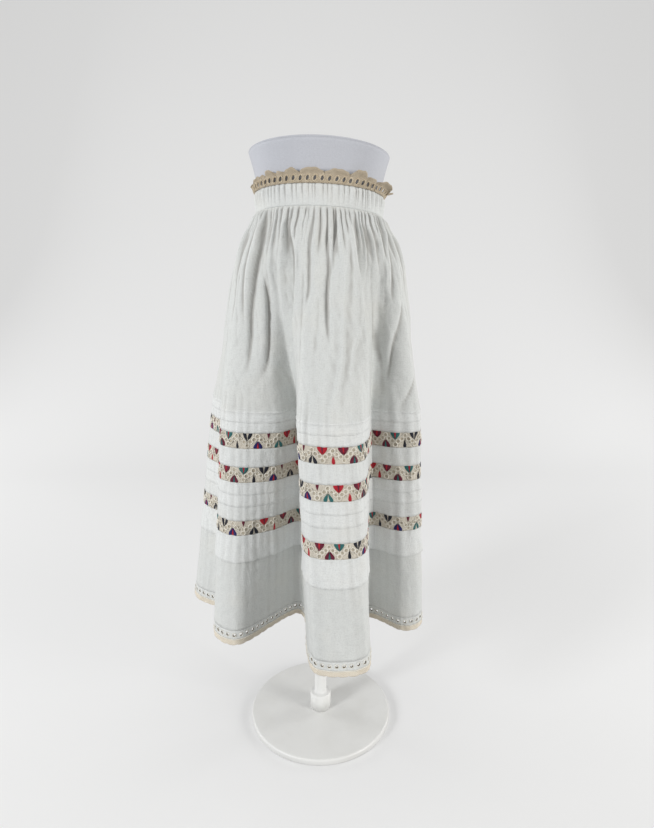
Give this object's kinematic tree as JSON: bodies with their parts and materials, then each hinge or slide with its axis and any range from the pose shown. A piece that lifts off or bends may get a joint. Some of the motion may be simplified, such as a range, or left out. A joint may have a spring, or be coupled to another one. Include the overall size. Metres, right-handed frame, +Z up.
{
  "type": "skirt on a display form",
  "caption": "Long gathered cotton skirt with elastic waist, lace ruffle, tucks, inserted lace bands and eyelet hem, worn on a limbless display form with pole and round base.",
  "frame": {"origin": "centre of the round base's underside, under the middle of the waist", "axes": "+Z up along the pole, the skirt's front faces -Y, +X is to the right seen from the front"},
  "size_m": [0.4935, 0.4491, 1.1583],
  "materials": {
    "white_cotton": "plain woven cotton and linen, matt, with slubs",
    "lace_insertion": "ecru lace ground with stitched heart and leaf motifs",
    "crochet_lace": "crocheted cotton thread, matt",
    "form_jersey": "grey-blue jersey, matt",
    "stand_metal": "white powder coat, satin"
  },
  "bodies": {
    "root": {"waist_casing": "white_cotton", "upper_panel_front": "white_cotton", "upper_panel_back": "white_cotton", "plain_strip_front": "white_cotton", "plain_strip_back": "white_cotton", "tucked_strip_front": "white_cotton", "tucked_strip_back": "white_cotton", "lower_panel_front": "white_cotton", "lower_panel_back": "white_cotton", "eyelet_beading_front": "white_cotton", "eyelet_beading_back": "white_cotton", "lace_band_one_front": "lace_insertion", "lace_band_one_back": "lace_insertion", "lace_band_two_front": "lace_insertion", "lace_band_two_back": "lace_insertion", "lace_band_three_front": "lace_insertion", "lace_band_three_back": "lace_insertion", "waist_ruffle_front": "crochet_lace", "waist_ruffle_back": "crochet_lace", "crochet_edging_front": "crochet_lace", "crochet_edging_back": "crochet_lace", "form_torso": "form_jersey", "form_cap": "form_jersey", "form_pole": "stand_metal", "form_base": "stand_metal"}
  },
  "joints": []
}
